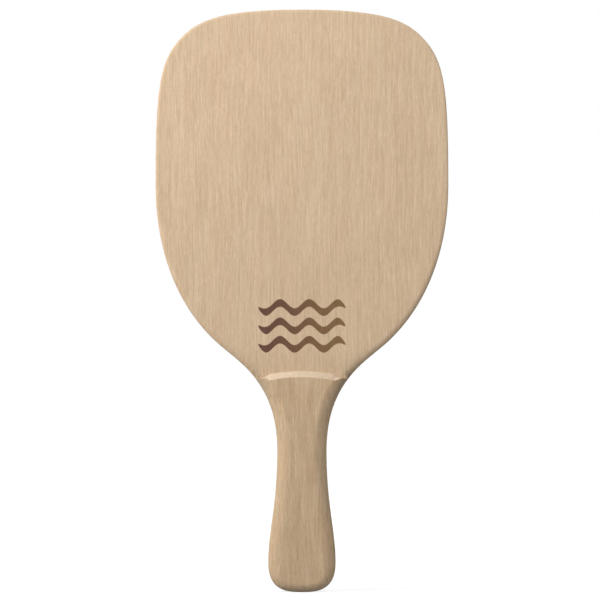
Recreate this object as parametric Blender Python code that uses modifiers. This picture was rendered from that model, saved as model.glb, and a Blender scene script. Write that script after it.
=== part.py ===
"""Beach racket: a five-ply blade whose tang runs down the handle, between two shaped wooden cheeks.

The racket stands on its butt with the blade up. +Z runs from the butt to the tip, X is the width and the
front face looks along -Y. The origin is the middle of the butt's lowest point. Every size is in metres.
"""

import math

import bmesh
import bpy
from mathutils import Matrix, Vector

# Overall sizes: the throat is where the blade runs out into the handle
BLADE_LENGTH = 0.218
HANDLE_LENGTH = 0.162
BLADE_WIDTH = 0.1912
BLADE_THICKNESS = 0.007
HANDLE_THICKNESS = 0.025
GLUE_LINE = 0.0003

# Blade outline: the shares are of the blade's length, measured down from the tip
WIDEST_SHARE = 0.525
CORNER_SHARE = 0.0826
CORNER_WIDTH = 0.821 * BLADE_WIDTH
CORNER_SLOPE = math.radians(46)
THROAT_WIDTH = 0.574 * BLADE_WIDTH
THROAT_SLOPE = math.radians(42)

# Handle outline: the shares are of the handle's length, measured up from the butt
NECK_WIDTH = 0.0322
NECK_SHARE = 0.568
BUTT_WIDTH = 0.044
BUTT_SHARE = 0.1173

# Worked edges: a fullness of 0.5 is a quarter circle, less is flatter. The rounds of a cheek reach
# further across its face than down its side.
BLADE_EDGE_ROUND = 0.001
BLADE_EDGE_FULLNESS = 0.5
SIDE_ROUND = 0.0080
SIDE_DEPTH = 0.0062
BUTT_ROUND = 0.0048
SIDE_FULLNESS = 0.40

# Shoulder of a cheek: an arch across the handle, bevelled down to the blade. Its share is of the
# handle's length, and the reaches of the arch's handles are shares of its half width.
SHOULDER_SHARE = 0.893
SHOULDER_FALL = 0.0055
SHOULDER_END_SLOPE = math.radians(20)
SHOULDER_BEVEL = 0.0043
CROWN_REACH = 0.60
FOOT_REACH = 0.49

# Fineness of the curves
STEPS_PER_SPAN = 18
ROUND_STEPS = 8
EDGE_STEPS = 3
SHARP_ANGLE = math.radians(30)

# Working values: how far a cutter runs past what it cuts, and how close two points count as one
OVERRUN = 0.004
WELD_DISTANCE = 0.00001
HALVINGS = 40

PLY_NAMES = ("front_face_veneer", "front_crossband", "core_ply", "rear_crossband", "rear_face_veneer")
PLY_COUNT = len(PLY_NAMES)
PLY_THICKNESS = (BLADE_THICKNESS - (PLY_COUNT - 1) * GLUE_LINE) / PLY_COUNT
CHEEK_THICKNESS = (HANDLE_THICKNESS - BLADE_THICKNESS) / 2 - GLUE_LINE

OVERALL_LENGTH = BLADE_LENGTH + HANDLE_LENGTH
BUTT_HEIGHT = BUTT_SHARE * HANDLE_LENGTH
SHOULDER_HEIGHT = SHOULDER_SHARE * HANDLE_LENGTH
DOWN = math.radians(-90)


class Station:
    """A point that the outline passes: where it is, which way it heads, and how far its handles reach.

    The reaches are shares of the straight line to the station before and the station after.
    """

    def __init__(self, x, z, heading, reach_back=0.0, reach_on=0.0):
        self.place = Vector((x, z))
        self.course = Vector((math.cos(heading), math.sin(heading)))
        self.reach_back = reach_back
        self.reach_on = reach_on

    def handle_back(self, before):
        return self.place - self.course * self.reach_back * (self.place - before.place).length

    def handle_on(self, after):
        return self.place + self.course * self.reach_on * (after.place - self.place).length

    def mirrored(self):
        """The same station on the left side, passed the other way."""
        twin = Station(-self.place.x, self.place.y, 0.0, self.reach_on, self.reach_back)
        twin.course = Vector((self.course.x, -self.course.y))
        return twin


def right_side():
    """Stations of the right half of the outline, from the tip round to the butt."""
    corner_height = OVERALL_LENGTH - CORNER_SHARE * BLADE_LENGTH
    widest_height = OVERALL_LENGTH - WIDEST_SHARE * BLADE_LENGTH
    tip = Station(0, OVERALL_LENGTH, 0, 0.64, 0.64)
    corner = Station(CORNER_WIDTH / 2, corner_height, -CORNER_SLOPE, 0.20, 0.21)
    widest = Station(BLADE_WIDTH / 2, widest_height, DOWN, 0.67, 0.32)
    throat = Station(THROAT_WIDTH / 2, HANDLE_LENGTH, THROAT_SLOPE - math.pi, 0.37, 0.22)
    neck = Station(NECK_WIDTH / 2, NECK_SHARE * HANDLE_LENGTH, DOWN, 0.56, 0.49)
    bulge = Station(BUTT_WIDTH / 2, BUTT_HEIGHT, DOWN, 0.31, 0.64)
    butt = Station(0, 0, math.pi, 0.32, 0.32)
    return [tip, corner, widest, throat, neck, bulge, butt]


def whole_outline():
    """Stations all round the racket, clockwise from the tip as seen from the front."""
    right = right_side()
    return right + [station.mirrored() for station in reversed(right[1:-1])]


def span_point(start, end, share):
    """Point of the cubic span between two stations, at a share of its run from 0 to 1."""
    rest = 1 - share
    return (
        start.place * rest**3
        + start.handle_on(end) * 3 * rest**2 * share
        + end.handle_back(start) * 3 * rest * share**2
        + end.place * share**3
    )


def half_width_at(height):
    """Half the racket's width at a height, found by halving the span that passes it."""
    stations = right_side()
    spans = zip(stations, stations[1:])
    upper, lower = next(span for span in spans if span[1].place.y <= height <= span[0].place.y)
    low, high = 0.0, 1.0
    for _ in range(HALVINGS):
        middle = (low + high) / 2
        if span_point(upper, lower, middle).y > height:
            low = middle
        else:
            high = middle
    return span_point(upper, lower, low).x


def clear_scene():
    for thing in list(bpy.data.objects):
        bpy.data.objects.remove(thing, do_unlink=True)


def new_collection(name):
    group = bpy.data.collections.new(name)
    bpy.context.scene.collection.children.link(group)
    return group


def wood(name, red, green, blue, roughness):
    """A Principled material from a colour in 8-bit display values."""
    material = bpy.data.materials.new(name)
    material.use_nodes = True
    shader = material.node_tree.nodes["Principled BSDF"]
    linear = [((value / 255 + 0.055) / 1.055) ** 2.4 for value in (red, green, blue)]
    shader.inputs["Base Color"].default_value = (*linear, 1.0)
    shader.inputs["Roughness"].default_value = roughness
    shader.inputs["Metallic"].default_value = 0.0
    return material


def filled_curve(name, thickness, steps):
    """An empty filled 2D curve that stands upright: its own Y is the racket's Z, its own Z looks forward."""
    curve = bpy.data.curves.new(name, "CURVE")
    curve.dimensions = "2D"
    curve.fill_mode = "BOTH"
    curve.extrude = thickness / 2
    curve.resolution_u = steps
    thing = bpy.data.objects.new(name, curve)
    thing.rotation_euler = (math.radians(90), 0, 0)
    bpy.context.scene.collection.objects.link(thing)
    return thing


def set_handles(point, place, back, on):
    point.handle_left_type = point.handle_right_type = "FREE"
    point.co = (*place, 0)
    point.handle_left = (*back, 0)
    point.handle_right = (*on, 0)


def racket_outline(name, thickness):
    """The full outline of the racket as a filled slab, centred on the blade's middle plane."""
    thing = filled_curve(name, thickness, STEPS_PER_SPAN)
    spline = thing.data.splines.new("BEZIER")
    stations = whole_outline()
    spline.bezier_points.add(len(stations) - 1)
    spline.use_cyclic_u = True
    for index, (point, station) in enumerate(zip(spline.bezier_points, stations)):
        before = stations[index - 1]
        after = stations[(index + 1) % len(stations)]
        set_handles(point, station.place, station.handle_back(before), station.handle_on(after))
    return thing


def shoulder_region(name, thickness):
    """Everything above the shoulder's arch, as a filled slab wider and taller than the blade."""
    thing = filled_curve(name, thickness, STEPS_PER_SPAN)
    spline = thing.data.splines.new("BEZIER")
    foot_height = SHOULDER_HEIGHT - SHOULDER_FALL
    foot = Vector((half_width_at(foot_height), foot_height))
    foot += Vector((OVERRUN, -OVERRUN * math.tan(SHOULDER_END_SLOPE)))
    crown = Vector((0, SHOULDER_HEIGHT))
    outer = BLADE_WIDTH / 2 + OVERRUN
    top = OVERALL_LENGTH + SHOULDER_BEVEL + OVERRUN
    crown_reach = Vector((CROWN_REACH * foot.x, 0))
    foot_reach = Vector((-math.cos(SHOULDER_END_SLOPE), math.sin(SHOULDER_END_SLOPE))) * FOOT_REACH * foot.x
    low_right, high_right = Vector((outer, foot.y)), Vector((outer, top))
    low_left, high_left = Vector((-outer, foot.y)), Vector((-outer, top))
    left_foot = Vector((-foot.x, foot.y))
    left_reach = Vector((-foot_reach.x, foot_reach.y))
    corners = (
        (left_foot, left_foot, left_foot + left_reach),
        (crown, crown - crown_reach, crown + crown_reach),
        (foot, foot + foot_reach, foot),
        (low_right, low_right, low_right),
        (high_right, high_right, high_right),
        (high_left, high_left, high_left),
        (low_left, low_left, low_left),
    )
    spline.bezier_points.add(len(corners) - 1)
    spline.use_cyclic_u = True
    for point, (place, back, on) in zip(spline.bezier_points, corners):
        set_handles(point, place, back, on)
    return thing


def as_mesh(thing):
    """Turns a filled curve into a closed mesh with one flat face on each side."""
    bpy.context.view_layer.update()
    evaluated = thing.evaluated_get(bpy.context.evaluated_depsgraph_get())
    mesh = bpy.data.meshes.new_from_object(evaluated)
    mesh.name = thing.name
    solid = bmesh.new()
    solid.from_mesh(mesh)
    bmesh.ops.remove_doubles(solid, verts=solid.verts, dist=WELD_DISTANCE)
    for side in (-1, 1):
        cap = [face for face in solid.faces if all(vertex.co.z * side > 0 for vertex in face.verts)]
        bmesh.ops.dissolve_faces(solid, faces=cap, use_verts=False)
    bmesh.ops.recalc_face_normals(solid, faces=solid.faces)
    solid.to_mesh(mesh)
    solid.free()
    mesh.shade_smooth()
    mesh.set_sharp_from_angle(angle=SHARP_ANGLE)
    name, pose, curve = thing.name, thing.matrix_world.copy(), thing.data
    bpy.data.objects.remove(thing, do_unlink=True)
    bpy.data.curves.remove(curve)
    result = bpy.data.objects.new(name, mesh)
    result.matrix_world = pose
    return result


def mark_front_rim(thing, weight_of_edge):
    """Weighs the front rim's edges for a bevel. The weight comes from an edge's middle and its direction."""
    rim = bmesh.new()
    rim.from_mesh(thing.data)
    layer = rim.edges.layers.float.new("bevel_weight_edge")
    front = max(vertex.co.z for vertex in rim.verts)
    for edge in rim.edges:
        start, end = (vertex.co for vertex in edge.verts)
        if min(start.z, end.z) > front - GLUE_LINE:
            edge[layer] = weight_of_edge((start + end) / 2, (end - start).normalized())
    rim.to_mesh(thing.data)
    rim.free()


def round_rim(thing, width, steps, fullness):
    bevel = thing.modifiers.new("worked edge", "BEVEL")
    bevel.limit_method = "WEIGHT"
    bevel.offset_type = "OFFSET"
    bevel.width = width
    bevel.segments = steps
    bevel.profile = fullness
    bevel.use_clamp_overlap = False


def place_in_stack(thing, distance, turn, group, material):
    """Puts a piece in its collection, at its distance from the middle plane, turned to face front or rear."""
    thing.rotation_euler = (math.radians(90), 0, turn)
    thing.location = Matrix.Rotation(turn, 3, "Z") @ Vector((0, -distance, 0))
    group.objects.link(thing)
    if material:
        thing.data.materials.append(material)


def inner_ply(name, distance, group, material):
    """A flat sheet of the plywood: crossband or core."""
    sheet = as_mesh(racket_outline(name, PLY_THICKNESS))
    place_in_stack(sheet, distance, 0, group, material)


def face_veneer(name, distance, turn, group, material):
    """An outer sheet, its edge rounded all round the blade and left square where the cheek covers it."""
    sheet = as_mesh(racket_outline(name, PLY_THICKNESS))
    blade_start = SHOULDER_HEIGHT - SHOULDER_FALL

    def weight(middle, _course):
        return 1.0 if middle.y > blade_start else 0.0

    mark_front_rim(sheet, weight)
    round_rim(sheet, BLADE_EDGE_ROUND, EDGE_STEPS, BLADE_EDGE_FULLNESS)
    place_in_stack(sheet, distance, turn, group, material)


def shoulder_cutter(name, turn, group):
    """The waste above the shoulder, leaning back so that the cut is a bevel from the blade up to the flat."""
    depth = CHEEK_THICKNESS + 2 * OVERRUN
    waste = as_mesh(shoulder_region(name, depth))
    lean = SHOULDER_BEVEL / CHEEK_THICKNESS
    blade_side = OVERRUN - depth / 2 - GLUE_LINE
    shear = Matrix(((1, 0, 0, 0), (0, 1, -lean, lean * blade_side), (0, 0, 1, 0), (0, 0, 0, 1)))
    waste.data.transform(shear)
    place_in_stack(waste, cheek_distance(), turn, group, None)
    waste.display_type = "WIRE"
    waste.hide_render = True
    return waste


def cheek_distance():
    return BLADE_THICKNESS / 2 + GLUE_LINE + CHEEK_THICKNESS / 2


def handle_cheek(name, cutter, turn, group, material):
    """One side of the grip: rounded along the sides, eased at the butt, bevelled where it meets the blade.

    The slab is made thick enough for rounds as deep as they are wide, and then pressed to its thickness.
    """
    press = SIDE_DEPTH / SIDE_ROUND
    cheek = as_mesh(racket_outline(name, CHEEK_THICKNESS / press))

    def weight(middle, course):
        across = abs(course.x) if middle.y < BUTT_HEIGHT else 0.0
        return (SIDE_ROUND + (BUTT_ROUND - SIDE_ROUND) * across) / SIDE_ROUND

    mark_front_rim(cheek, weight)
    round_rim(cheek, SIDE_ROUND, ROUND_STEPS, SIDE_FULLNESS)
    cut = cheek.modifiers.new("shoulder", "BOOLEAN")
    cut.operation = "DIFFERENCE"
    cut.solver = "EXACT"
    cut.object = cutter
    cheek.scale.z = press
    place_in_stack(cheek, cheek_distance(), turn, group, material)


def main():
    clear_scene()
    racket = new_collection("beach_racket")
    cutters = new_collection("cutters")
    face_wood = wood("face_veneer", 210, 185, 154, 0.55)
    cross_wood = wood("crossband_veneer", 176, 142, 104, 0.70)
    core_wood = wood("core_veneer", 202, 172, 132, 0.65)
    cheek_wood = wood("handle_wood", 186, 161, 131, 0.50)

    turned = {"front": 0.0, "rear": math.pi}
    pitch = PLY_THICKNESS + GLUE_LINE
    front_face, front_cross, core, rear_cross, rear_face = PLY_NAMES
    face_distance = pitch * (PLY_COUNT - 1) / 2
    face_veneer(front_face, face_distance, turned["front"], racket, face_wood)
    inner_ply(front_cross, pitch, racket, cross_wood)
    inner_ply(core, 0, racket, core_wood)
    inner_ply(rear_cross, -pitch, racket, cross_wood)
    face_veneer(rear_face, face_distance, turned["rear"], racket, face_wood)

    for side, turn in turned.items():
        cutter = shoulder_cutter(side + "_shoulder_waste", turn, cutters)
        handle_cheek(side + "_handle_cheek", cutter, turn, racket, cheek_wood)


main()
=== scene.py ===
"""Looks of the beach racket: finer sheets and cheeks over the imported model, their woods, light and camera.

Metres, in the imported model's frame: the racket stands on its butt, +Z to the tip, and its front faces -Y.
"""

import bisect
import math

import bmesh
import bpy
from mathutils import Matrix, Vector


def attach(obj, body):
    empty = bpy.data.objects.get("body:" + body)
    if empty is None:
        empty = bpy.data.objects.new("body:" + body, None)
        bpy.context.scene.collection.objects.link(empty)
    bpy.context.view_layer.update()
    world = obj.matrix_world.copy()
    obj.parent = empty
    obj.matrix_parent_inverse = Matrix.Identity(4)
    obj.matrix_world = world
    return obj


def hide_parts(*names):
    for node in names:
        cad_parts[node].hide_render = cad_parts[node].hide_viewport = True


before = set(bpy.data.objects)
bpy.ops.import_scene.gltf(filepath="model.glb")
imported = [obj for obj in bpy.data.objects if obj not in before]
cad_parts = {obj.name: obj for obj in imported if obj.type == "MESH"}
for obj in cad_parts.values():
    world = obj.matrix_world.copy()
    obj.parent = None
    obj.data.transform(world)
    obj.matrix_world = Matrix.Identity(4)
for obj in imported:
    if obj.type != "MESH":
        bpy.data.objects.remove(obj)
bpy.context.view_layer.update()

MM = 0.001

# The blank, as the maker cuts it: the throat is where the blade runs out into the handle
BLADE_LENGTH = 0.218
HANDLE_LENGTH = 0.162
LENGTH = BLADE_LENGTH + HANDLE_LENGTH
BLADE_WIDTH = 0.1912
WIDEST_HEIGHT = LENGTH - 0.525 * BLADE_LENGTH
CORNER_WIDTH = 0.821 * BLADE_WIDTH
CORNER_HEIGHT = LENGTH - 0.0826 * BLADE_LENGTH
CORNER_SLOPE = math.radians(46)
THROAT_WIDTH = 0.574 * BLADE_WIDTH
THROAT_SLOPE = math.radians(42)
NECK_WIDTH = 0.0322
NECK_HEIGHT = 0.568 * HANDLE_LENGTH
BUTT_WIDTH = 0.044
BUTT_HEIGHT = 0.1173 * HANDLE_LENGTH
DOWN = math.radians(-90)

# Thicknesses: five sheets with a film of glue between, and a cheek glued on each face
BLADE_THICKNESS = 0.007
HANDLE_THICKNESS = 0.025
GLUE_FILM = 0.00006
SHEET_COUNT = 5
SHEET_THICKNESS = (BLADE_THICKNESS - (SHEET_COUNT - 1) * GLUE_FILM) / SHEET_COUNT
CHEEK_BACK = BLADE_THICKNESS / 2 + GLUE_FILM
CHEEK_THICKNESS = HANDLE_THICKNESS / 2 - CHEEK_BACK

# The handle's worked sides: how far they reach across the face, how deep they fall, how full their curve is
# and how soft its inner corner. A fullness of 1 is a plain chamfer and 2 a parabola, and more is steeper at
# the rim. Between the heights of each change, the low part's reach and fullness run over into those above.
SIDE_REACH = 0.0086
SIDE_DEPTH = 0.0031
SIDE_FULLNESS = 1.6
SIDE_CORNER = 0.00035
LOW_SIDE_REACH = 0.0092
LOW_SIDE_FULLNESS = 2.0
REACH_CHANGE = (0.045, 0.075)
FULLNESS_CHANGE = (0.080, 0.110)
BUTT_REACH = 0.0057
BUTT_DEPTH = 0.0023

# The steeper cut outside them, deeper and deeper towards the shoulder: it begins at its start, is whole from
# its full height on, and has its given depth at its end
CUT_START = 0.1080
CUT_FULL = 0.1180
CUT_END = 0.1400
CUT_SLOPE = math.radians(57)
CUT_DEPTH = 0.0064
CUT_SOFTNESS = 0.0003

# The blade's sanded edge: reach, depth and fullness at the tip, at the throat and beside the shoulder's
# ends, where it is widest and deepest, and the heights between which it sets in and changes. The least
# share is what is left of it under the cheeks.
TIP_SANDING = (0.0018, 0.00028, 2.0)
THROAT_SANDING = (0.0040, 0.00115, 2.0)
SHOULDER_SANDING = (0.0100, 0.00190, 4.0)
SANDING_START = (0.1378, 0.1411)
SHOULDER_TO_THROAT = (0.1430, 0.1600)
THROAT_TO_TIP = (0.152, 0.275)
LEAST_SHARE = 0.02
BLADE_CORNER = 0.00015

# How much the corners at a glued face are eased, and how far in from its edge a face has one more ring
SHEET_EASE = 0.00006
CHEEK_EASE = 0.00012
RIM_SUPPORT = 0.0006

# The shoulder: an arch across the handle that rolls down to level ends, and a bevel down to the blade, which
# tapers to a point at the ends. A small hollow at the bevel's toe fairs it into the blade.
SHOULDER_HEIGHT = 0.14365
ARCH_CURVE = 4.6
ROLL_START = 0.0190
ROLL_END = 0.0262
ROLL_FALL = 0.00125
SHOULDER_BEVEL = 0.0033
END_BEVEL = -0.00015
TAPER_START = 0.0208
TAPER_END = 0.0262
TOE_RISE = 0.00065
TOE_DEPTH = 0.0007
ARRIS_DEPTH = 0.00025
ARRIS_WIDTH = 0.00035

# The corner of shoulder and side: how much it is rounded, and the heights between which it lies
CHEEK_CORNER = 0.0003
CHEEK_CORNER_HEIGHTS = (0.150, 0.110)

# Fineness of the meshes. The edge's heading is taken over a span of its steps, a side's points crowd towards
# the shoulder, an inner sheet has two rings more, at shares of its thickness, and the toe's first steps are
# left out, because the eased corner is there.
EDGE_STEP = 0.0005
COURSE_SPAN = 3
SHEET_STEP = 0.0015
SHEET_ROUND_STEPS = 10
INNER_SHEET_SHARES = (0.35, 0.65)
ARCH_POINTS = 60
CHEEK_CORNER_POINTS = 4
SIDE_POINTS = 120
SIDE_CROWDING = 1.3
CHEEK_STEPS = 30
TOE_STEPS = 6
FIRST_TOE_STEP = 2
SHARP_ANGLE = math.radians(32)
HALVINGS = 40


def blend(start, end, share):
    """A share of the way from start to end."""
    return start + (end - start) * share


def ease(low, high, value):
    """0 below low, 1 above high and a smooth rise between."""
    share = min(max((value - low) / (high - low), 0.0), 1.0)
    return share * share * (3 - 2 * share)


def soften(value, corner):
    """The value where it is above 0, and nearly 0 where it is below, with a soft corner between."""
    return (value + math.sqrt(value**2 + 4 * corner**2)) / 2


class Station:
    """A point that the blank's edge passes, and its heading there.

    The edge leans on arms that reach back and on from it, by shares of the chords to its neighbours.
    """

    def __init__(self, x, z, heading, reach_back, reach_on):
        self.place = Vector((x, z))
        self.course = Vector((math.cos(heading), math.sin(heading)))
        self.reach_back = reach_back
        self.reach_on = reach_on


def edge_stations():
    """The right half of the edge, from the tip down to the butt."""
    return [
        Station(0, LENGTH, 0, 0.64, 0.64),
        Station(CORNER_WIDTH / 2, CORNER_HEIGHT, -CORNER_SLOPE, 0.20, 0.21),
        Station(BLADE_WIDTH / 2, WIDEST_HEIGHT, DOWN, 0.67, 0.32),
        Station(THROAT_WIDTH / 2, HANDLE_LENGTH, THROAT_SLOPE - math.pi, 0.37, 0.22),
        Station(NECK_WIDTH / 2, NECK_HEIGHT, DOWN, 0.56, 0.49),
        Station(BUTT_WIDTH / 2, BUTT_HEIGHT, DOWN, 0.31, 0.64),
        Station(0, 0, math.pi, 0.32, 0.32),
    ]


def cubic(first, second, third, fourth, share):
    """A share of the way along the curve between the outer points, with its arms' ends at the inner two."""
    rest = 1 - share
    return first * rest**3 + second * 3 * rest**2 * share + third * 3 * rest * share**2 + fourth * share**3


class Edge:
    """The right half of the blank's edge: a place and an inward normal at any distance from the tip."""

    def __init__(self):
        self.places = []
        stations = edge_stations()
        for start, end in zip(stations, stations[1:]):
            chord = (end.place - start.place).length
            leaving = start.place + start.course * start.reach_on * chord
            arriving = end.place - end.course * end.reach_back * chord
            steps = math.ceil(chord / EDGE_STEP)
            for step in range(steps):
                self.places.append(cubic(start.place, leaving, arriving, end.place, step / steps))
        self.places.append(stations[-1].place)
        self.distances = [0.0]
        for near, far in zip(self.places, self.places[1:]):
            self.distances.append(self.distances[-1] + (far - near).length)
        self.length = self.distances[-1]

    def at(self, distance):
        """The place at that distance down the edge, and the normal into the blank there."""
        last = len(self.places) - 1
        index = min(max(bisect.bisect_right(self.distances, distance), 1), last)
        near, far = self.distances[index - 1], self.distances[index]
        place = blend(self.places[index - 1], self.places[index], (distance - near) / (far - near))
        if index < COURSE_SPAN:
            course = Vector((1, 0))
        elif index > last + 1 - COURSE_SPAN:
            course = Vector((-1, 0))
        else:
            before, after = self.places[index - COURSE_SPAN], self.places[index - 1 + COURSE_SPAN]
            course = (after - before).normalized()
        return place, Vector((course.y, -course.x))

    def distance_at_height(self, height):
        """Distance down the edge at which it reaches that height."""
        low, high = 0.0, self.length
        for _ in range(HALVINGS):
            middle = (low + high) / 2
            if self.at(middle)[0].y > height:
                low = middle
            else:
                high = middle
        return low


EDGE = Edge()


def closed_shell(name, half_rings, side):
    """A closed mesh from half rings, back to front, each from its top middle down the right to the butt.

    side is 1 for a piece that faces the front and -1 for one turned to face the rear.
    """
    shell = bmesh.new()
    rings = []
    for half in half_rings:
        left = [(-x, z, out) for x, z, out in reversed(half[1:-1])]
        rings.append([shell.verts.new((side * x, -side * out, z)) for x, z, out in half + left])
    for back, front in zip(rings, rings[1:]):
        for index in range(len(back)):
            shell.faces.new((back[index - 1], back[index], front[index], front[index - 1]))
    for ring in (rings[0], rings[-1]):
        shell.faces.new(ring)
    bmesh.ops.recalc_face_normals(shell, faces=shell.faces)
    mesh = bpy.data.meshes.new(name)
    shell.to_mesh(mesh)
    shell.free()
    mesh.shade_smooth()
    mesh.set_sharp_from_angle(angle=SHARP_ANGLE)
    piece = bpy.data.objects.new(name, mesh)
    bpy.context.scene.collection.objects.link(piece)
    return piece


def worked_inset(below, reach, depth, fullness, corner):
    """How far a worked edge is in from the outline, at a distance below the face it was worked from."""
    return soften(reach * (1 - (max(below, 0.0) / depth) ** (1 / fullness)), corner)


def sanded_inset(height, below):
    """How far the blade's sanded edge is in from the outline, at a distance below the blade's face."""
    up, away = ease(*THROAT_TO_TIP, height), ease(*SHOULDER_TO_THROAT, height)
    share = max(ease(*SANDING_START, height), LEAST_SHARE)
    further = [blend(low, high, up) for low, high in zip(THROAT_SANDING, TIP_SANDING)]
    reach, depth, fullness = [blend(beside, past, away) for beside, past in zip(SHOULDER_SANDING, further)]
    return worked_inset(below, reach * share, depth * share, fullness, BLADE_CORNER * share)


def sheet_ring(out, extra_inset=0.0):
    """Half a flat ring round the plywood, at one distance from the blade's middle."""
    count = round(EDGE.length / SHEET_STEP)
    ring = []
    for index in range(count + 1):
        place, inward = EDGE.at(EDGE.length * index / count)
        inset = sanded_inset(place.y, BLADE_THICKNESS / 2 - abs(out))
        point = place + inward * (inset + extra_inset)
        ring.append((0.0 if index in (0, count) else point.x, point.y, out))
    return ring


def inner_sheet(name, middle):
    """A crossband or the core: a flat sheet, its corners eased by a hair where the glue shows."""
    back, front = middle - SHEET_THICKNESS / 2, middle + SHEET_THICKNESS / 2
    rings = [sheet_ring(back, SHEET_EASE), sheet_ring(back + SHEET_EASE)]
    rings += [sheet_ring(blend(back, front, share)) for share in INNER_SHEET_SHARES]
    rings += [sheet_ring(front - SHEET_EASE), sheet_ring(front, SHEET_EASE)]
    return closed_shell(name, rings, 1)


def face_sheet(name, side):
    """An outer sheet: eased at its glued face and sanded round at its outer one."""
    front = BLADE_THICKNESS / 2
    back = front - SHEET_THICKNESS
    rings = [sheet_ring(back, SHEET_EASE)]
    for step in range(SHEET_ROUND_STEPS + 1):
        rise = math.sin(math.radians(90) * step / SHEET_ROUND_STEPS)
        rings.append(sheet_ring(blend(back + SHEET_EASE, front, rise)))
    rings.append(sheet_ring(front, RIM_SUPPORT))
    return closed_shell(name, rings, side)


def handle_inset(place, inward, out):
    """How far the handle's side has curved in, at a distance out from the blade's middle."""
    height, below = place.y, HANDLE_THICKNESS / 2 - out
    across = abs(inward.y) if height < BUTT_HEIGHT else 0.0
    reach = blend(blend(LOW_SIDE_REACH, SIDE_REACH, ease(*REACH_CHANGE, height)), BUTT_REACH, across)
    depth = blend(SIDE_DEPTH, BUTT_DEPTH, across)
    fullness = blend(LOW_SIDE_FULLNESS, SIDE_FULLNESS, ease(*FULLNESS_CHANGE, height))
    side = worked_inset(below, reach, depth, fullness, SIDE_CORNER)
    cut_depth = blend(SIDE_DEPTH, CUT_DEPTH, (height - CUT_START) / (CUT_END - CUT_START))
    further = (cut_depth - below) / math.tan(CUT_SLOPE) - side
    return side + ease(CUT_START, CUT_FULL, height) * soften(further, CUT_SOFTNESS)


def arch(x):
    """Height of the shoulder's upper line at a distance from the middle."""
    return SHOULDER_HEIGHT - ARCH_CURVE * min(x, ROLL_END) ** 2 - ROLL_FALL * ease(ROLL_START, ROLL_END, x)


def shoulder_line(x, level):
    """Height of a cheek's shoulder at a level above its glued face: hollow toe, bevel and soft arris."""
    low = max(1 - level / TOE_DEPTH, 0.0)
    high = max(1 - (CHEEK_THICKNESS - level) / ARRIS_DEPTH, 0.0)
    bevelled = 1 - ease(TAPER_START, TAPER_END, x)
    bevel = blend(END_BEVEL, SHOULDER_BEVEL, bevelled) * level / CHEEK_THICKNESS
    toe = bevelled * TOE_RISE * (1 - math.sqrt(1 - low**2))
    return arch(x) - bevel + toe - ARRIS_WIDTH * (1 - math.sqrt(1 - high**2))


def side_point(level, extra_inset, distance):
    """A point of a cheek's side at a level above its glued face, that far down the blank's edge."""
    place, inward = EDGE.at(distance)
    return place + inward * (handle_inset(place, inward, CHEEK_BACK + level) + extra_inset)


def corner_distance(level, extra_inset):
    """How far down the blank's edge a cheek's side meets its shoulder, at that level."""
    above, below = [EDGE.distance_at_height(height) for height in CHEEK_CORNER_HEIGHTS]
    for _ in range(HALVINGS):
        middle = (above + below) / 2
        point = side_point(level, extra_inset, middle)
        if point.y > shoulder_line(point.x, level) - extra_inset:
            above = middle
        else:
            below = middle
    return above


def cheek_ring(level, extra_inset=0.0):
    """Half a ring round a cheek: across the shoulder, round its corner and down the side to the butt."""
    corner_at = corner_distance(level, extra_inset)
    corner = side_point(level, extra_inset, corner_at)
    arch_end, side_start = corner.x - CHEEK_CORNER, corner_at + CHEEK_CORNER
    points = []
    for index in range(ARCH_POINTS + 1):
        x = arch_end * index / ARCH_POINTS
        points.append(Vector((x, shoulder_line(x, level) - extra_inset)))
    arch_last, side_first = points[-1], side_point(level, extra_inset, side_start)
    for index in range(1, CHEEK_CORNER_POINTS):
        share = index / CHEEK_CORNER_POINTS
        rest = 1 - share
        points.append(arch_last * rest**2 + corner * 2 * share * rest + side_first * share**2)
    for index in range(SIDE_POINTS + 1):
        distance = blend(side_start, EDGE.length, (index / SIDE_POINTS) ** SIDE_CROWDING)
        points.append(side_point(level, extra_inset, distance))
    points[-1].x = 0.0
    return [(point.x, point.y, CHEEK_BACK + level) for point in points]


def handle_cheek(name, side):
    """A cheek: rounded sides and butt, and the bevelled shoulder that meets the blade."""
    rings = [cheek_ring(0.0, CHEEK_EASE), cheek_ring(CHEEK_EASE)]
    for step in range(FIRST_TOE_STEP, TOE_STEPS):
        rings.append(cheek_ring(TOE_DEPTH * step / TOE_STEPS))
    for step in range(CHEEK_STEPS, -1, -1):
        rings.append(cheek_ring(blend(CHEEK_THICKNESS, TOE_DEPTH, (step / CHEEK_STEPS) ** 2)))
    rings.append(cheek_ring(CHEEK_THICKNESS, RIM_SUPPORT))
    return closed_shell(name, rings, side)


# A Mix node's colour sockets, by number, because its sockets of other kinds have the same names
FIRST_COLOUR = 6
SECOND_COLOUR = 7
MIXED_COLOUR = 2


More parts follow.
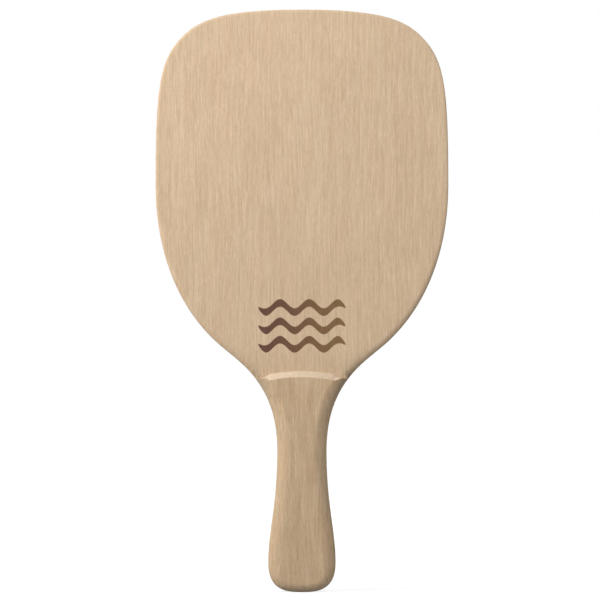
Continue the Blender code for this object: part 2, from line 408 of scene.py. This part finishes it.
class Board:
    """Short ways to lay out the nodes of a material or a group."""

    def __init__(self, tree):
        self.tree = tree

    def add(self, kind, **settings):
        """A node of that kind."""
        node = self.tree.nodes.new(kind)
        for key, value in settings.items():
            setattr(node, key, value)
        return node

    def feed(self, socket, value):
        """Links a socket to the value, or sets it there."""
        if isinstance(value, bpy.types.NodeSocket):
            self.tree.links.new(value, socket)
        else:
            socket.default_value = value

    def group(self, tree, **values):
        """The outputs of a group's node that is fed these values."""
        node = self.add("ShaderNodeGroup", node_tree=tree)
        for label, value in values.items():
            self.feed(node.inputs[label], value)
        return node.outputs

    def math(self, operation, *values, clamp=False):
        node = self.add("ShaderNodeMath", operation=operation, use_clamp=clamp)
        for socket, value in zip(node.inputs, values):
            self.feed(socket, value)
        return node.outputs[0]

    def vector_math(self, operation, *values):
        node = self.add("ShaderNodeVectorMath", operation=operation)
        for socket, value in zip(node.inputs, values):
            self.feed(socket, value)
        return node.outputs["Value" if operation in ("DOT_PRODUCT", "LENGTH") else "Vector"]

    def noise(self, place, stretch, detail):
        """Soft noise from about 0 to 1, with its own frequency along each axis."""
        node = self.add("ShaderNodeTexNoise")
        self.feed(node.inputs["Vector"], self.vector_math("MULTIPLY", place, stretch))
        node.inputs["Scale"].default_value = 1.0
        node.inputs["Detail"].default_value = detail
        return node.outputs["Fac"]

    def swing(self, place, stretch, detail):
        """The same noise about 0."""
        return self.math("SUBTRACT", self.noise(place, stretch, detail), 0.5)

    def spread(self, value, low, high, first=0.0, last=1.0):
        """Values from low to high, mapped smoothly onto first to last."""
        node = self.add("ShaderNodeMapRange", interpolation_type="SMOOTHSTEP")
        labels = ("Value", "From Min", "From Max", "To Min", "To Max")
        for label, number in zip(labels, (value, low, high, first, last)):
            self.feed(node.inputs[label], number)
        return node.outputs["Result"]

    def mix(self, factor, first, second):
        """A colour from the first, at a factor of 0, to the second, at 1."""
        node = self.add("ShaderNodeMix", data_type="RGBA")
        self.feed(node.inputs["Factor"], factor)
        self.feed(node.inputs[FIRST_COLOUR], first)
        self.feed(node.inputs[SECOND_COLOUR], second)
        return node.outputs[MIXED_COLOUR]

    def split(self, vector):
        node = self.add("ShaderNodeSeparateXYZ")
        self.feed(node.inputs[0], vector)
        return node.outputs

    def join(self, x, y, z):
        node = self.add("ShaderNodeCombineXYZ")
        for socket, value in zip(node.inputs, (x, y, z)):
            self.feed(socket, value)
        return node.outputs[0]


def new_group(name, inputs, outputs):
    """A board for a new shader group, and the group's inputs and outputs, given by their names and kinds."""
    group = bpy.data.node_groups.new(name, "ShaderNodeTree")
    for side, sockets in (("INPUT", inputs), ("OUTPUT", outputs)):
        for label, kind in sockets.items():
            group.interface.new_socket(label, in_out=side, socket_type="NodeSocket" + kind)
    board = Board(group)
    return board, board.add("NodeGroupInput").outputs, board.add("NodeGroupOutput").inputs


# The grain's figures: how often each comes along X, Y and Z, per millimetre, and where its soft edges lie.
# A streak's numbers are its share of the streak strength, and how often it comes across and along.
STREAKS = ((1.15, 1.00, 0.030), (1.15, 1.12, 0.075), (1.0, 1.22, 0.20), (0.75, 1.38, 0.50))
SWAY = (0.02, 0.02, 0.011)
SWAY_WIDTH = 6.0
BANDS = (0.20, 0.20, 0.045)
CLOUDS = (0.05, 0.05, 0.035)
WARMTH = (0.12, 0.12, 0.03)
WARMTH_EDGES = (0.35, 0.65)
PORES = (1.7, 1.7, 0.16)
PORE_EDGES = (0.58, 0.72)
PORE_RELIEF = 0.6


def grain_group():
    """Straight grain with a slight sway. Place is in millimetres, with the fibres along Z."""
    board, given, out = new_group(
        "straight grain",
        dict(Place="Vector", Streaks="Float", Bands="Float", Clouds="Float"),
        dict(Tone="Float", Warmth="Float", Pores="Float", Relief="Float"),
    )
    place = given["Place"]
    wander = board.math("MULTIPLY", board.swing(place, SWAY, detail=1.0), SWAY_WIDTH)
    swayed = board.vector_math("ADD", place, board.join(wander, 0.0, 0.0))
    streaks = 0.0
    for share, across, along in STREAKS:
        streak = board.swing(swayed, (across, across, along), detail=0.0)
        streaks = board.math("MULTIPLY_ADD", streak, share, streaks)
    bands = board.swing(swayed, BANDS, detail=1.0)
    clouds = board.swing(place, CLOUDS, detail=2.0)
    tone = 1.0
    for figure, label in ((streaks, "Streaks"), (bands, "Bands"), (clouds, "Clouds")):
        tone = board.math("MULTIPLY_ADD", figure, given[label], tone)
    pores = board.spread(board.noise(swayed, PORES, detail=1.0), *PORE_EDGES)
    board.feed(out["Tone"], tone)
    board.feed(out["Warmth"], board.spread(board.noise(swayed, WARMTH, detail=2.0), *WARMTH_EDGES))
    board.feed(out["Pores"], pores)
    board.feed(out["Relief"], board.math("SUBTRACT", streaks, board.math("MULTIPLY", pores, PORE_RELIEF)))
    return board.tree


def end_grain_group():
    """How squarely a surface cuts across the fibres: 0 along them, 1 across them."""
    board, given, out = new_group("end grain", dict(Fibres="Vector"), dict(End="Float"))
    facing = board.add("ShaderNodeTexCoord").outputs["Normal"]
    share = board.math("ABSOLUTE", board.vector_math("DOT_PRODUCT", facing, given["Fibres"]))
    board.feed(out["End"], board.math("POWER", share, 2.0))
    return board.tree


# Painted shade on the blade at the shoulder, in millimetres: how far up from the shoulder's line and how
# much, then the spot beside each of its ends that is shaded more, how far round it and how much
SHADE_RISE = 20.0
LINE_SHADE = 0.12
END_OUT = 31.0
END_HEIGHT = 140.0
END_SPREAD = 7.0
END_SHADE = 0.30


def painted_shoulder_shade_group():
    """Painted shade on the blade just above the shoulder and beside its ends. Place is in millimetres from
    the butt.
    """
    board, given, out = new_group("painted shoulder shade", dict(Place="Vector"), dict(Shade="Float"))
    x, _, z = board.split(given["Place"])
    line = board.math("MULTIPLY_ADD", board.math("POWER", x, 2.0), -ARCH_CURVE * MM, SHOULDER_HEIGHT / MM)
    along = board.spread(board.math("SUBTRACT", z, line), 0.0, SHADE_RISE, LINE_SHADE, 0.0)
    aside = board.math("SUBTRACT", board.math("ABSOLUTE", x), END_OUT)
    apart = board.vector_math("LENGTH", board.join(aside, 0.0, board.math("SUBTRACT", z, END_HEIGHT)))
    beside = board.spread(apart, 0.0, END_SPREAD, END_SHADE, 0.0)
    board.feed(out["Shade"], board.math("ADD", along, beside))
    return board.tree


# The print on the front, in millimetres, and its ink, as display values from its left end to its right
PRINT_HEIGHT = 173.5
PRINT_WIDTH = 57.0
PRINT_SOFTNESS = 0.25
WAVE_LENGTH = 19.0
WAVE_RISE = 3.0
WAVE_PITCH = 12.0
WAVE_WEIGHT = 5.0
WAVE_TAPER = 5.0
LEFT_INK = (92, 57, 44)
RIGHT_INK = (124, 94, 60)
INK_COVER = 0.97


def wave_print_group():
    """Three printed wave lines, one above the other. Place is in millimetres from the print's middle."""
    board, given, out = new_group("wave print", dict(Place="Vector"), dict(Ink="Float", Fade="Float"))
    x, _, z = board.split(given["Place"])
    turn = board.math("MULTIPLY", x, 2 * math.pi / WAVE_LENGTH)
    level = board.math("SUBTRACT", z, board.math("MULTIPLY", board.math("SINE", turn), WAVE_RISE))
    row = board.math("ROUND", board.math("DIVIDE", level, WAVE_PITCH))
    row = board.math("MINIMUM", board.math("MAXIMUM", row, -1.0), 1.0)
    away = board.math("ABSOLUTE", board.math("SUBTRACT", level, board.math("MULTIPLY", row, WAVE_PITCH)))
    end = board.math("SUBTRACT", PRINT_WIDTH / 2, board.math("ABSOLUTE", x))
    taper = board.math("SQRT", board.math("DIVIDE", end, WAVE_TAPER, clamp=True))
    spare = board.math("SUBTRACT", board.math("MULTIPLY", taper, WAVE_WEIGHT / 2), away)
    line = board.spread(spare, -PRINT_SOFTNESS, PRINT_SOFTNESS)
    board.feed(out["Ink"], board.math("MULTIPLY", line, board.math("GREATER_THAN", end, 0.0)))
    board.feed(out["Fade"], board.spread(x, -PRINT_WIDTH / 2, PRINT_WIDTH / 2))
    return board.tree


GRAIN = grain_group()
END_GRAIN = end_grain_group()
PAINTED_SHOULDER_SHADE = painted_shoulder_shade_group()
WAVE_PRINT = wave_print_group()

# How far the grain moves red, green and blue: its dark streaks are browner, its pale ones whiter
TONE_SHARES = (0.86, 0.98, 1.18)

# The finish: how much duller pores and end grain are than the wood round them, its sheen and its relief
PORE_DULLNESS = 0.12
END_DULLNESS = 0.30
SHEEN = 0.25
RELIEF_STRENGTH = 0.15
RELIEF_DEPTH = 0.00015
BLACK = (0, 0, 0, 1)


def display(colour):
    """A linear colour from red, green and blue as display values from 0 to 255."""
    return tuple(((value / 255 + 0.055) / 1.055) ** 2.4 for value in colour) + (1.0,)


def printed_over(board, colour, place):
    """The colour with the print on it."""
    mark = board.group(WAVE_PRINT, Place=board.vector_math("SUBTRACT", place, (0, 0, PRINT_HEIGHT)))
    ink = board.mix(mark["Fade"], display(LEFT_INK), display(RIGHT_INK))
    return board.mix(board.math("MULTIPLY", mark["Ink"], INK_COVER), colour, ink)


def wood(name, pale, warm, cut, fibres, shift, figure, pores, roughness, painted_shade=False, printed=False):
    """A sanded wood, pale to warm along the fibres and of the cut colour across them.

    The colours are display values. fibres is the axis that the fibres run along, shift moves the figure
    from piece to piece, in millimetres, and figure and pores say how strongly each shows.
    """
    material = bpy.data.materials.new(name)
    material.use_nodes = True
    board = Board(material.node_tree)
    shader = material.node_tree.nodes["Principled BSDF"]
    place = board.vector_math("SCALE", board.add("ShaderNodeTexCoord").outputs["Object"])
    place.node.inputs["Scale"].default_value = 1 / MM
    x, y, z = board.split(board.vector_math("ADD", place, shift))
    if fibres == "X":
        grain = board.group(GRAIN, Place=board.join(z, y, x), **figure)
        end = board.group(END_GRAIN, Fibres=(1, 0, 0))["End"]
    else:
        grain = board.group(GRAIN, Place=board.join(x, y, z), **figure)
        end = board.group(END_GRAIN, Fibres=(0, 0, 1))["End"]

    colour = board.mix(grain["Warmth"], display(pale), display(warm))
    colour = board.mix(end, colour, display(cut))
    if painted_shade:
        # Painted shade just above the shoulder's line and beside its ends
        colour = board.mix(board.group(PAINTED_SHOULDER_SHADE, Place=place)["Shade"], colour, BLACK)
    if printed:
        colour = printed_over(board, colour, place)
    tone = board.math("SUBTRACT", grain["Tone"], board.math("MULTIPLY", grain["Pores"], pores))
    change = board.math("SUBTRACT", tone, 1.0)
    shade = board.vector_math("MULTIPLY_ADD", board.join(change, change, change), TONE_SHARES, (1, 1, 1))
    board.feed(shader.inputs["Base Color"], board.vector_math("MULTIPLY", colour, shade))

    dullness = board.math("ADD", roughness, board.math("MULTIPLY", grain["Pores"], PORE_DULLNESS))
    board.feed(shader.inputs["Roughness"], board.math("MULTIPLY_ADD", end, END_DULLNESS, dullness))
    shader.inputs["Specular IOR Level"].default_value = SHEEN
    relief = board.add("ShaderNodeBump")
    relief.inputs["Strength"].default_value = RELIEF_STRENGTH
    relief.inputs["Distance"].default_value = RELIEF_DEPTH
    board.feed(relief.inputs["Height"], grain["Relief"])
    board.feed(shader.inputs["Normal"], relief.outputs["Normal"])
    return material


VENEER_FIGURE = dict(Streaks=0.19, Bands=0.03, Clouds=0.10)
VENEER_PORES = 0.04
SOLID_FIGURE = dict(Streaks=0.22, Bands=0.07, Clouds=0.12)
SOLID_PORES = 0.05


def face_wood(name, shift, printed=False):
    """The outer sheets' veneer, laid along, with painted shade on it at the shoulder."""
    return wood(
        name, pale=(213, 187, 155), warm=(212, 184, 152), cut=(196, 171, 140), fibres="Z", shift=shift,
        figure=VENEER_FIGURE, pores=VENEER_PORES, roughness=0.55, painted_shade=True, printed=printed,
    )


def crossband_wood(name, shift):
    """The crossbands' veneer, laid across, so that its darker end grain shows along the blade's sides."""
    return wood(
        name, pale=(206, 180, 147), warm=(202, 175, 141), cut=(172, 138, 100), fibres="X", shift=shift,
        figure=VENEER_FIGURE, pores=VENEER_PORES, roughness=0.7,
    )


def core_wood(name, shift):
    """The core's veneer, laid along and seen only at the edge."""
    return wood(
        name, pale=(208, 180, 145), warm=(204, 175, 139), cut=(190, 158, 122), fibres="Z", shift=shift,
        figure=VENEER_FIGURE, pores=VENEER_PORES, roughness=0.65,
    )


def handle_wood(name, shift):
    """The cheeks' solid wood, browner and with a stronger figure, and paler where it is cut across: partly
    its end grain's own colour, partly a painted sheen.
    """
    return wood(
        # cut: the end grain's colour, paled and whitened to carry part of the bevel's sheen as painted sheen
        name, pale=(204, 177, 144), warm=(202, 173, 139), cut=(204, 187, 166), fibres="Z", shift=shift,
        figure=SOLID_FIGURE, pores=SOLID_PORES, roughness=0.5,
    )


def dress():
    """Makes the seven pieces, each on its node, with its wood."""
    front_veneer = face_wood("front face veneer", shift=(0, 0, 0), printed=True)
    rear_veneer = face_wood("rear face veneer", shift=(310, 40, 170))
    front_cross = crossband_wood("front crossband", shift=(70, 90, 20))
    rear_cross = crossband_wood("rear crossband", shift=(140, 30, 60))
    core = core_wood("core veneer", shift=(25, 60, 90))
    front_solid = handle_wood("front handle wood", shift=(500, 20, 15))
    rear_solid = handle_wood("rear handle wood", shift=(620, 130, 45))

    pitch = SHEET_THICKNESS + GLUE_FILM
    pieces = (
        (face_sheet("front_face_sheet", 1), "front_face_veneer", "face_veneer", front_veneer),
        (inner_sheet("front_crossband_sheet", pitch), "front_crossband", "crossband_veneer", front_cross),
        (inner_sheet("core_sheet", 0.0), "core_ply", "core_veneer", core),
        (inner_sheet("rear_crossband_sheet", -pitch), "rear_crossband", "crossband_veneer", rear_cross),
        (face_sheet("rear_face_sheet", -1), "rear_face_veneer", "face_veneer", rear_veneer),
        (handle_cheek("front_cheek", 1), "front_handle_cheek", "handle_wood", front_solid),
        (handle_cheek("rear_cheek", -1), "rear_handle_cheek", "handle_wood", rear_solid),
    )
    for piece, node, slot, material in pieces:
        piece.data.materials.append(material)
        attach(piece, "root")
        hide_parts(node)


# The room's light, and its paper floor: a grey that takes the shadow, and a glow that carries it to white,
# less near the racket, where the lamps light it too
ROOM_LIGHT = 0.13
FLOOR_HALF = 12.0
FLOOR_GREY = 0.20
FLOOR_GLOW = 0.84
FLOOR_NEAR = 0.45
FLOOR_FAR = 0.9

# The lamps: name, place and power
LAMP_SIZE = 0.62
LAMP_TARGET = Vector((0, 0, 0.2))
LAMPS = (
    ("key lamp", Vector((-1.064, -0.614, 1.050)), 23.0),
    ("front lamp", Vector((0.0, -1.083, 0.825)), 5.6),
    ("back lamp", Vector((0.65, 1.05, 0.80)), 14.0),
)


def seen_directly(board):
    """1 for what the camera sees, also reflected or seen through, and 0 for light that falls on things."""
    path = board.add("ShaderNodeLightPath").outputs
    seen = board.math("MAXIMUM", path["Is Camera Ray"], path["Is Glossy Ray"])
    return board.math("MAXIMUM", seen, path["Is Transmission Ray"])


def room():
    """A white room with an even light."""
    world = bpy.data.worlds.new("white room")
    bpy.context.scene.world = world
    world.use_nodes = True
    board = Board(world.node_tree)
    background = world.node_tree.nodes["Background"]
    background.inputs["Color"].default_value = (1, 1, 1, 1)
    light = board.math("MULTIPLY_ADD", seen_directly(board), 1 - ROOM_LIGHT, ROOM_LIGHT)
    board.feed(background.inputs["Strength"], light)


def floor_paper():
    """Matt pale paper that keeps the shadow."""
    paper = bpy.data.materials.new("floor paper")
    paper.use_nodes = True
    board = Board(paper.node_tree)
    paper.node_tree.nodes.remove(paper.node_tree.nodes["Principled BSDF"])
    matt = board.add("ShaderNodeBsdfDiffuse")
    matt.inputs["Color"].default_value = (FLOOR_GREY, FLOOR_GREY, FLOOR_GREY, 1)
    away = board.vector_math("LENGTH", board.add("ShaderNodeTexCoord").outputs["Object"])
    glow = board.add("ShaderNodeEmission")
    strength = board.spread(away, FLOOR_NEAR, FLOOR_FAR, FLOOR_GLOW, 1.0)
    board.feed(glow.inputs["Strength"], board.math("MULTIPLY", strength, seen_directly(board)))
    both = board.add("ShaderNodeAddShader")
    board.feed(both.inputs[0], matt.outputs[0])
    board.feed(both.inputs[1], glow.outputs[0])
    board.feed(paper.node_tree.nodes["Material Output"].inputs["Surface"], both.outputs[0])
    return paper


def floor():
    """A plain floor at the butt's height."""
    mesh = bpy.data.meshes.new("studio_floor")
    corners = [(x * FLOOR_HALF, y * FLOOR_HALF, 0) for x, y in ((-1, -1), (1, -1), (1, 1), (-1, 1))]
    mesh.from_pydata(corners, [], [(0, 1, 2, 3)])
    mesh.materials.append(floor_paper())
    sheet = bpy.data.objects.new("studio_floor", mesh)
    bpy.context.scene.collection.objects.link(sheet)


def lamps():
    """Three soft lamps that point at the racket."""
    for name, place, power in LAMPS:
        lamp = bpy.data.lights.new(name, "AREA")
        lamp.shape = "SQUARE"
        lamp.size = LAMP_SIZE
        lamp.energy = power
        stand = bpy.data.objects.new(name, lamp)
        stand.location = place
        stand.rotation_euler = (place - LAMP_TARGET).to_track_quat("Z", "Y").to_euler()
        bpy.context.scene.collection.objects.link(stand)


# The camera: lens and sensor in millimetres, the height of what it takes in, its middle, and how near and
# how far it sees
CAMERA_LENS = 300.0
CAMERA_SENSOR = 36.0
PICTURE_HEIGHT = 0.3920
VIEW_CENTRE = Vector((-0.00127, 0.0, 0.1904))
NEAREST_SEEN = 0.1
FURTHEST_SEEN = 100.0


def camera():
    """A long lens, square on to the front, framed as in the photograph."""
    lens = bpy.data.cameras.new("camera")
    lens.lens = CAMERA_LENS
    lens.sensor_width = CAMERA_SENSOR
    lens.clip_start = NEAREST_SEEN
    lens.clip_end = FURTHEST_SEEN
    eye = bpy.data.objects.new("camera", lens)
    distance = PICTURE_HEIGHT * CAMERA_LENS / CAMERA_SENSOR
    eye.location = VIEW_CENTRE + Vector((0, -distance, 0))
    eye.rotation_euler = (math.radians(90), 0, 0)
    bpy.context.scene.collection.objects.link(eye)
    bpy.context.scene.camera = eye


dress()
room()
floor()
lamps()
camera()
bpy.context.scene.view_settings.view_transform = "Standard"
